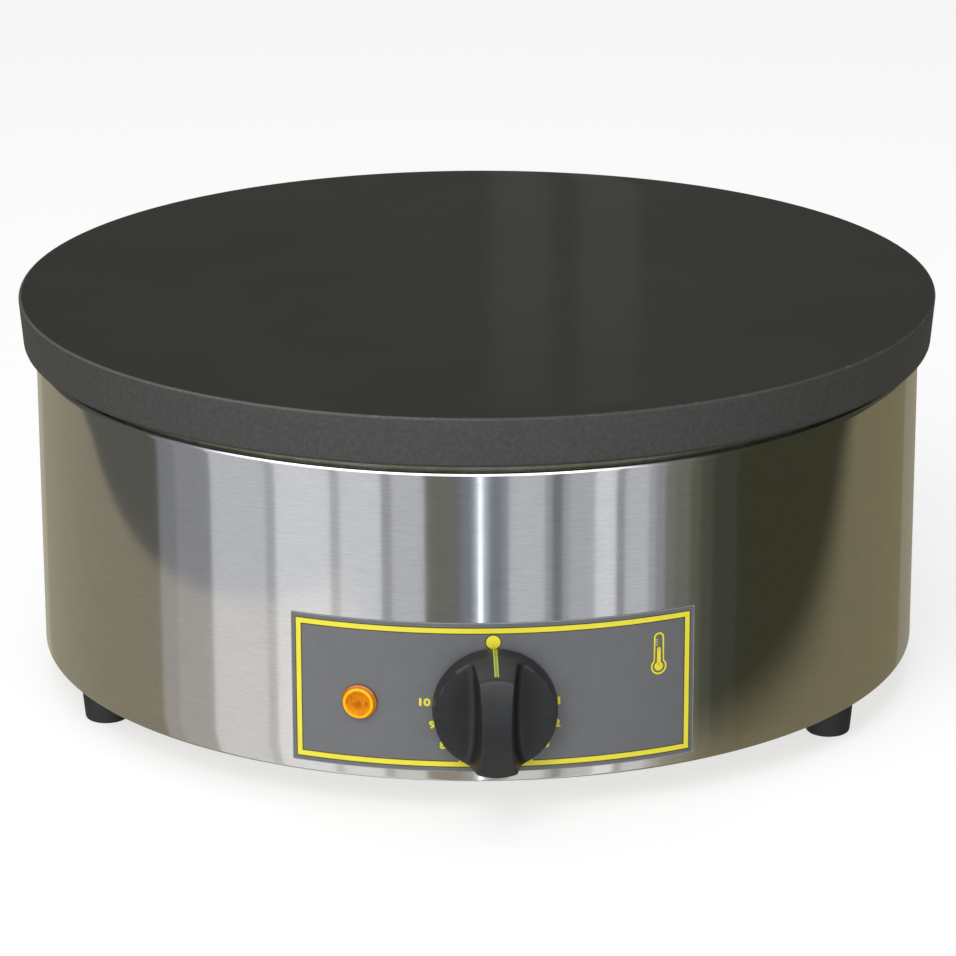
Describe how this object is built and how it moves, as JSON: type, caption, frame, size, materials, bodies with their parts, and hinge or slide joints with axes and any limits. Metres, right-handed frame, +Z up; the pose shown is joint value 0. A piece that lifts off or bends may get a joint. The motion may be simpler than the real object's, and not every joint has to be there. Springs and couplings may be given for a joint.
{
  "type": "electric crepe maker",
  "caption": "Round cast-iron crepe plate on a brushed steel drum, with a curved control label, a thermostat knob, an amber pilot lamp and rubber feet.",
  "frame": {"origin": "on the drum's axis, at the level of the counter under the feet", "axes": "+Z is up, square to the cooking face; the control label and knob face -Y; the supply gland points to +Y"},
  "size_m": [0.3998, 0.4397, 0.172],
  "materials": {
    "cast_iron": "machined and seasoned, fine circular tool marks, satin",
    "stainless_steel": "brushed round the drum",
    "zinc_plated_steel": "bright zinc plate",
    "aluminised_steel": "dull aluminised sheet, heat tinted",
    "heater_sheath": "oxidised sheath",
    "ceramic_fibre": "soft pressed fibre",
    "porcelain": "glazed white",
    "brass": "plain turned",
    "copper": "drawn tube, dull",
    "black_rubber": "moulded, matt",
    "black_thermoset": "moulded, fine satin texture",
    "black_nylon": "moulded, satin",
    "label_film": "grey film with yellow print",
    "pointer_paint": "yellow-green paint line",
    "amber_lens": "clear amber",
    "white_plastic": "moulded",
    "blue_lead": "silicone sleeve",
    "brown_lead": "silicone sleeve",
    "green_yellow_lead": "silicone sleeve"
  },
  "bodies": {
    "housing": {"griddle_plate": "cast_iron", "outer_heating_ring": "heater_sheath", "inner_heating_ring": "heater_sheath", "terminal_bushes": "porcelain", "terminal_studs": "zinc_plated_steel", "terminal_links": "brass", "terminal_nuts": "brass", "element_clamp_plate": "zinc_plated_steel", "clamp_stud": "zinc_plated_steel", "clamp_washer": "zinc_plated_steel", "clamp_nut": "zinc_plated_steel", "insulation_disc": "ceramic_fibre", "insulation_pan": "aluminised_steel", "support_columns": "zinc_plated_steel", "column_screws": "zinc_plated_steel", "drum_shell": "stainless_steel", "seam_strip": "stainless_steel", "base_tray": "stainless_steel", "rubber_feet": "black_rubber", "foot_screws": "zinc_plated_steel", "foot_nuts": "zinc_plated_steel", "control_label": "label_film", "pilot_lamp_lens": "amber_lens", "pilot_lamp_body": "white_plastic", "pilot_lamp_nut": "zinc_plated_steel", "thermostat_bracket": "zinc_plated_steel", "bracket_screws": "zinc_plated_steel", "thermostat_body": "porcelain", "thermostat_screws": "zinc_plated_steel", "thermostat_tabs": "brass", "sensing_bulb": "copper", "bulb_clip": "zinc_plated_steel", "bulb_clip_screws": "zinc_plated_steel", "capillary_tube": "copper", "live_lead": "brown_lead", "neutral_lead": "blue_lead", "element_lead": "brown_lead", "lamp_leads": "blue_lead", "earth_lead": "green_yellow_lead", "terminal_block": "porcelain", "terminal_clamps": "brass", "block_screws": "zinc_plated_steel", "earth_stud": "zinc_plated_steel", "earth_nut": "brass", "gland_body": "black_nylon", "gland_seal": "black_rubber", "gland_nut": "black_nylon", "gland_locknut": "black_nylon"},
    "knob": {"control_knob": "black_thermoset", "knob_pointer": "pointer_paint", "thermostat_spindle": "zinc_plated_steel"}
  },
  "joints": [
    {"name": "thermostat_knob", "type": "hinge", "parent": "housing", "child": "knob", "pos_m": [0, -0.19455, 0.048], "axis": [0, 1, 0], "range_deg": [0, 276]}
  ]
}
